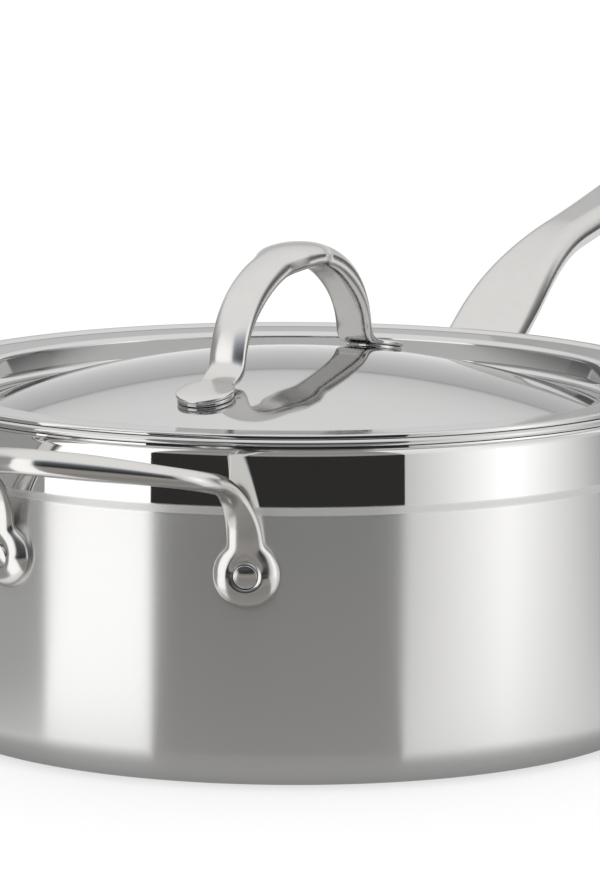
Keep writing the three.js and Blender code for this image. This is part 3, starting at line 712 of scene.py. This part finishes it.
def lid_curve(inset):
    dome_end = math.degrees(math.asin(VALLEY_R / (DOME_R + DOME_FILLET_R)))
    valley_z = VALLEY_Z + DOME_FILLET_R
    recess_r, recess_z = RECESS_R - RECESS_FILLET_R, VALLEY_Z + RECESS_FILLET_R
    corner_r, corner_z = RECESS_R + FLANGE_CORNER_R, FLANGE_Z - FLANGE_CORNER_R
    curve = arc(0, DOME_CENTRE.z, DOME_R - inset, 90, 90 - dome_end, DOME_STEPS)
    curve += arc(VALLEY_R, valley_z, DOME_FILLET_R + inset, 270 - dome_end, 270, VALLEY_STEPS)[1:]
    curve += arc(recess_r, recess_z, RECESS_FILLET_R + inset, -90, 0, RECESS_STEPS)
    curve += arc(corner_r, corner_z, FLANGE_CORNER_R - inset, 180, 90, FLANGE_STEPS)
    for i in range(STEP_STEPS + 1):
        run = i / STEP_STEPS
        rise = RIM_STEP * smoothstep(run, 0, 1)
        curve.append((FLANGE_R + RIM_STEP_RUN * run, FLANGE_Z - inset + rise))
    return curve


def foot_spot(sign, height):
    lean = math.asin(FOOT_SPREAD / DOME_R)
    along = Vector((sign * math.sin(lean), 0, math.cos(lean)))
    return DOME_CENTRE + along * (DOME_R + height), along


def make_lid():
    half = LID_SHEET / 2
    low = PAN_HEIGHT + CONTACT
    edge = [(LID_R - RIM_TUCK, RIM_Z - LID_SHEET), (LID_R - RIM_IN, low)]
    edge += arc(LID_R - RIM_TURNED, low + RIM_TURNED, RIM_TURNED, -90, 0, 4)
    edge += arc(LID_R - half, RIM_Z - half, half, 0, 90, 8)
    profile = lid_curve(LID_SHEET) + edge + lid_curve(0)[::-1]
    profile[0] = (0, profile[0][1])
    profile[-1] = (0, profile[-1][1])
    shell = new_mesh("lid_sheet", *lathe(profile, LATHE_SIDES), POLISHED)
    cut(shell, [rod(*foot_spot(s, 0), STUD_R + STUD_ROOM, -2, 2) for s in (1, -1)])
    dress(shell, "lid", "polished_sheet_steel", "lid_shell")


# The handle of the lid

def strap_thick(climb):
    begin = math.sin(math.radians(KNEE_TURN))
    return lerp(STRAP_THICK, CROWN_THICK, smoothstep(climb, begin, CROWN_FULL)) / 2


# One half of the handle, from the tip of a foot up to the crown
def arch_half():
    drop = FIT - CONTACT  # the foot reaches down to its boss
    half = (FOOT_HEIGHT + drop) / 2
    foot, normal = foot_spot(1, FOOT_BASE - drop + half)
    inward = Vector((-normal.z, 0, normal.x))
    stations = []

    ways = [FOOT_R * (1 - math.cos(math.radians(a))) for a in FOOT_TURNS]
    ways += [lerp(FOOT_FLAT_END, KNEE_FROM, i / 6) * FOOT_R for i in range(1, 6)]
    for way in ways:
        wide = pad_width(way, FOOT_R, STRAP_WIDTH / 2)
        share = tip_share(way, FOOT_R, FOOT_ROUND)
        at = foot + inward * (way - FOOT_R) - normal * half * (1 - share)
        stations.append((at, normal, wide, half * share, (FOOT_ROUND, FOOT_FLAT)))

    root = foot + inward * ((KNEE_FROM - 1) * FOOT_R)
    spring = Vector((ARCH_HALF_SPAN, 0, foot.z + ARCH_SPRING - KNEE_LOWER))
    rise = ARCH_RISE + KNEE_LOWER
    begin = math.radians(KNEE_TURN)
    leg = Vector((spring.x * math.cos(begin), 0, spring.z + rise * math.sin(begin)))
    climb = Vector((-spring.x * math.sin(begin), 0, rise * math.cos(begin)))
    gap = leg - root
    reach = (gap.x * climb.z - gap.z * climb.x) / (inward.x * climb.z - inward.z * climb.x)
    knee = root + inward * reach
    for i in range(KNEE_STEPS):
        t = i / KNEE_STEPS
        turned = smoothstep(t, 0, 1)
        at = root * (1 - t) ** 2 + knee * 2 * t * (1 - t) + leg * t ** 2
        along = ((knee - root) * (1 - t) + (leg - knee) * t).normalized()
        out = Vector((along.z, 0, -along.x))
        fuller = KNEE_FULLER * math.sin(math.pi * t) ** 2
        wide = pad_width(lerp(KNEE_FROM, KNEE_END, t) * FOOT_R, FOOT_R, STRAP_WIDTH / 2)
        thick = lerp(half, strap_thick(math.sin(begin)), turned) + fuller
        exponents = lerp(FOOT_ROUND, ARCH_OUTER, turned), lerp(FOOT_FLAT, ARCH_INNER, t)
        stations.append((at - out * fuller, out, wide, thick, exponents))

    for i in range(ARCH_STEPS):
        angle = lerp(begin, math.pi / 2, i / ARCH_STEPS)
        climb = math.sin(angle)
        at = Vector((spring.x * math.cos(angle), 0, spring.z + rise * climb))
        swollen = 1 - smoothstep(at.x, SWELL_FLAT, SWELL_REACH)
        wide = lerp(lerp(STRAP_WIDTH, SHOULDER_WIDTH, climb), CROWN_WIDTH, swollen) / 2
        exponents = lerp(ARCH_OUTER, CROWN_OUTER, climb), ARCH_INNER
        stations.append((at, None, wide, strap_thick(climb), exponents))
    top = Vector((0, 0, spring.z + rise))
    return stations, (top, None, CROWN_WIDTH / 2, CROWN_THICK / 2, (CROWN_OUTER, ARCH_INNER))


def mirrored(way):
    return None if way is None else Vector((-way.x, way.y, way.z))


def make_lid_handle():
    stations, crown = arch_half()
    far = [(mirrored(at), mirrored(face), *rest) for at, face, *rest in stations]
    points, faces = loft(stations + [crown] + far[::-1], ARCH_SIDES)
    piece = new_mesh("lid_arch", points, faces, CAST)
    bore = STUD_R + STUD_ROOM
    cut(piece, [rod(*foot_spot(s, FOOT_BASE), bore, -FIT, STUD_BITE + FIT) for s in (1, -1)])
    dress(piece, "lid", "polished_cast_steel", "lid_handle")

    low, high, edge = -BOSS_BASE + CONTACT, BOSS_HEIGHT, BOSS_EDGE
    ring = [(bore, low), (BOSS_R - edge, low)]
    ring += arc(BOSS_R - edge, low + edge, edge, -90, 0, 6)
    ring += arc(BOSS_R - edge, high - edge, edge, 0, 90, 6)
    ring.append((bore, high))
    head_z = -LID_SHEET - STUD_SEAT
    length = FOOT_BASE + STUD_BITE - head_z - STUD_ROOM
    for place, sign in (("far", 1), ("near", -1)):
        points, faces = lathe(ring, BOSS_SIDES)
        points = stood(points, *foot_spot(sign, BOSS_BASE))
        boss = new_mesh(f"boss_{place}", points, faces, POLISHED)
        dress(boss, "lid", "polished_sheet_steel", f"lid_handle_boss_{place}")
        points, faces = headed_pin(STUD_R, length, STUD_HEAD_R, STUD_HEAD_HEIGHT, STUD_EDGE, STUD_CROWN)
        points = stood(points, *foot_spot(sign, head_z))
        stud = new_mesh(f"stud_{place}", points, faces, POLISHED)
        dress(stud, "lid", "polished_sheet_steel", f"lid_handle_stud_{place}")


make_pan()
make_rivets()
make_helper()
make_long()
make_lid()
make_lid_handle()

# Camera at the viewing angle of the photograph
TURN, TILT, ROLL, DISTANCE = math.radians(64), math.radians(8.85), math.radians(0.178), 1992
LENS, SENSOR = 279.4, 36
AIM_ASIDE, AIM_HEIGHT = 2.42, 84
RIGHT = Vector((math.cos(TURN), -math.sin(TURN), 0))
TOWARDS = Vector((-math.sin(TURN), -math.cos(TURN), 0))
back = TOWARDS * math.cos(TILT) + Vector((0, 0, math.sin(TILT)))
up = back.cross(RIGHT)
right = RIGHT * math.cos(ROLL) + up * math.sin(ROLL)
up = up * math.cos(ROLL) - RIGHT * math.sin(ROLL)
aim = RIGHT * AIM_ASIDE + Vector((0, 0, AIM_HEIGHT))
lens = bpy.data.cameras.new("camera")
lens.lens = LENS
lens.sensor_width = SENSOR
camera = bpy.data.objects.new("camera", lens)
bpy.context.scene.collection.objects.link(camera)
facing = Matrix((right, up, back)).transposed().to_4x4()
camera.matrix_world = Matrix.Translation((aim + back * DISTANCE) * MM) @ facing
bpy.context.scene.camera = camera


# Studio: cards that only reflections see, given as (right, towards the camera, up) from the pan's middle

def glow(name, colour=(1, 1, 1)):
    material = bpy.data.materials.new(name)
    material.use_nodes = True
    tree = material.node_tree
    tree.nodes.clear()
    light = node(tree, "ShaderNodeEmission", {"Color": (*colour, 1)})
    output = tree.nodes.new("ShaderNodeOutputMaterial")
    tree.links.new(light.outputs[0], output.inputs[0])
    return material, tree, light.inputs["Strength"]


def studio_card(name, corners, material, lights=False):
    points = [tuple(RIGHT * a + TOWARDS * b + Vector((0, 0, z))) for a, b, z in corners]
    card = new_mesh(name, points, [tuple(range(len(points)))], material)
    card.visible_camera = False
    card.visible_shadow = False
    card.visible_diffuse = lights


def standing_card(name, start, end, height, material, lights=False):
    (a, b), (c, d) = start, end
    corners = [(a, b, 0), (c, d, 0), (c, d, height), (a, b, height)]
    studio_card(name, corners, material, lights)


# The spot some distance off that the wall shows the camera, this far to the right of its middle
def seen_at(aside, distance):
    turn = math.asin(aside / PAN_R)
    ahead = PAN_R * math.cos(turn)
    view = math.atan2(AIM_ASIDE - aside, DISTANCE - ahead)
    return aside + distance * math.sin(2 * turn - view), ahead + distance * math.cos(2 * turn - view)


# A card whose level changes with its height, or with the distance from the middle of the pan
def graded(name, stops, radial=False, colour=(1, 1, 1)):
    material, tree, strength = glow(name, colour)
    place = object_place(tree)
    way = length_of(tree, place) if radial else height_of(tree, place)
    level = stops[0][1]
    for (low, before), (high, after) in zip(stops, stops[1:]):
        change = ramp(tree, way, low * MM, high * MM, 0.0, after - before, "LINEAR")
        level = maths(tree, "ADD", level, change)
    tree.links.new(level, strength)
    return material


# A card of one level, or (first, last, low, high) from one place on the wall to another, that fades to
# the level of the room towards its top
def faded(name, level):
    material, tree, strength = glow(name)
    place = object_place(tree)
    top = ramp(tree, height_of(tree, place), FADE_FROM * MM, CARD_HEIGHT * MM, 0.0, 1.0)
    if isinstance(level, tuple):
        first, last, low, high = level
        ends = seen_at(first, CARD_AWAY), seen_at(last, CARD_AWAY)
        start, end = [RIGHT * a + TOWARDS * b for a, b in ends]
        run = (end - start) / (end - start).length_squared
        links = {0: place, 1: tuple(run / MM)}
        share = node(tree, "ShaderNodeVectorMath", links, operation="DOT_PRODUCT").outputs["Value"]
        level = ramp(tree, share, start.dot(run), start.dot(run) + 1, low, high, "LINEAR")
    tree.links.new(blended(tree, top, level, 1.0), strength)
    return material


# A card that stands in front of the pan and its foot on the floor, between two places on the wall
def reflected_card(name, first, last, material, lights=False, table=None):
    foot = [seen_at(aside, CARD_AWAY) for aside in (first, last)]
    toe = [seen_at(aside, TABLE_NEAR if table else CARD_NEAR) for aside in (last, first)]
    standing_card(name, *foot, CARD_HEIGHT, material, lights)
    studio_card(name + "_foot", [(*spot, CARD_FOOT_Z) for spot in foot + toe], table or material)


# What the wall reflects, from left to right. Stops are (height or distance, level).
CARD_AWAY, CARD_NEAR, TABLE_NEAR, CARD_HEIGHT, CARD_FOOT_Z, FADE_FROM = 550, 58, 8, 520, 0.5, 230
GREY_LEFT, LEFT_OUT, LEFT_IN, RIGHT_IN, RIGHT_PEAK, RIGHT_OUT = -104, -69.5, -39.3, 31.8, 62, 95
GREY_LEVEL, LEFT_LEVEL, RIGHT_LOW, RIGHT_HIGH, RIGHT_END = 0.35, 1.36, 0.55, 1.5, 0.05
TABLE_STOPS = [(120, 0.36), (150, 0.32), (190, 0.28), (235, 0.36), (300, 0.36), (385, 0.28), (410, 0.03)]
DARK_STOPS = [(60, 0.03), (110, 0.09), (230, 0.12), (330, 0.35), (520, 1.0)]
dark = graded("dark_card", DARK_STOPS, colour=(0.86, 0.91, 1.0))
table = graded("pale_table", TABLE_STOPS, True, (1.0, 0.97, 0.93))
reflected_card("dark_wall", LEFT_IN, RIGHT_IN, dark, table=table)
reflected_card("left_softbox", LEFT_OUT, LEFT_IN, faded("softbox", LEFT_LEVEL), True)
reflected_card("left_grey", GREY_LEFT, LEFT_OUT, faded("grey_card", GREY_LEVEL))
rising = faded("right_softbox", (RIGHT_IN, RIGHT_PEAK, RIGHT_LOW, RIGHT_HIGH))
reflected_card("right_softbox", RIGHT_IN, RIGHT_PEAK, rising, True)
falling = faded("right_edge", (RIGHT_PEAK, RIGHT_OUT, RIGHT_HIGH, RIGHT_END))
reflected_card("right_edge", RIGHT_PEAK, RIGHT_OUT, falling)

# Tall pale wall behind the pan with a join across it, which the lid reflects
BACK, BACK_HALF = -1000, 900
BACK_STOPS = [(100, 1.0), (440, 0.64), (450, 0.45), (460, 0.72), (478, 0.85), (585, 0.95), (690, 1.0)]
pale = graded("back_wall", BACK_STOPS)
standing_card("back_wall", (-BACK_HALF, BACK), (BACK_HALF, BACK), BACK_STOPS[-1][0], pale)

# Grey flags beside the back wall, and a low one that the side of the long handle reflects
FLAG_STOPS = [(150, 0.14), (330, 0.3), (700, 1.0)]
LOW_STOPS = [(60, 0.08), (140, 0.2), (260, 1.0)]
FLAG_CORNER = (668, -545)
grey = graded("grey_flag", FLAG_STOPS)
standing_card("right_flag", (800, -80), FLAG_CORNER, FLAG_STOPS[-1][0], grey)
standing_card("left_flag", (-760, -160), (-620, -700), FLAG_STOPS[-1][0], grey)
standing_card("low_flag", FLAG_CORNER, (600, -800), LOW_STOPS[-1][0], graded("low_flag", LOW_STOPS))


def circle(radius, z, sides):
    turns = [2 * math.pi * i / sides for i in range(sides)]
    return [(radius * math.cos(a), radius * math.sin(a), z) for a in turns]


# Painted shadow round the base, just under the pan: a glowing ring that only reflections see, standing in
# for the pan's contact shadow on the table
SHADE_IN, SHADE_OUT, SHADE_Z, ROUND_SIDES = 60, 145, -0.02, 96
SHADE_FROM, SHADE_TO, SHADE_LOW, SHADE_HIGH = 117, 138, 0.36, 0.95
shade = circle(SHADE_IN, SHADE_Z, ROUND_SIDES) + circle(SHADE_OUT, SHADE_Z, ROUND_SIDES)
after = [(i + 1) % ROUND_SIDES for i in range(ROUND_SIDES)]
ring = [(i, k, ROUND_SIDES + k, ROUND_SIDES + i) for i, k in enumerate(after)]
# Painted contact shadow: the ring glows dimly next to the wall and brighter further out
dim, tree, strength = glow("base_painted_shadow")
radius = length_of(tree, object_place(tree))
tree.links.new(ramp(tree, radius, SHADE_FROM * MM, SHADE_TO * MM, SHADE_LOW, SHADE_HIGH), strength)
base_shade = new_mesh("base_shade", shade, ring, dim)
base_shade.visible_camera = False
base_shade.visible_shadow = False
base_shade.visible_diffuse = False

# Pale floor: its own colour under the light, lifted to white as a background
FLOOR_R, FLOOR_Z, FLOOR_GREY, FLOOR_LIFT = 4000, -0.05, 0.4, 0.64
floor_material = bpy.data.materials.new("pale_floor")
floor_material.use_nodes = True
tree = floor_material.node_tree
shader = tree.nodes["Principled BSDF"]
shader.inputs["Base Color"].default_value = (FLOOR_GREY, FLOOR_GREY, FLOOR_GREY, 1)
shader.inputs["Roughness"].default_value = 0.9
shader.inputs["Specular IOR Level"].default_value = 0.0
shader.inputs["Emission Color"].default_value = (1, 1, 1, 1)
path = tree.nodes.new("ShaderNodeLightPath")
seen = maths(tree, "MAXIMUM", path.outputs["Is Camera Ray"], path.outputs["Is Glossy Ray"])
seen = maths(tree, "MAXIMUM", seen, path.outputs["Is Transmission Ray"])
tree.links.new(maths(tree, "MULTIPLY", seen, FLOOR_LIFT), shader.inputs["Emission Strength"])
floor = new_mesh("floor", circle(FLOOR_R, FLOOR_Z, ROUND_SIDES), [tuple(range(ROUND_SIDES))], floor_material)

# Plain white room
world = bpy.data.worlds.new("studio")
world.use_nodes = True
room = world.node_tree.nodes["Background"]
room.inputs["Color"].default_value = (1, 1, 1, 1)
room.inputs["Strength"].default_value = 1.0
bpy.context.scene.world = world
bpy.context.scene.view_settings.view_transform = "Standard"
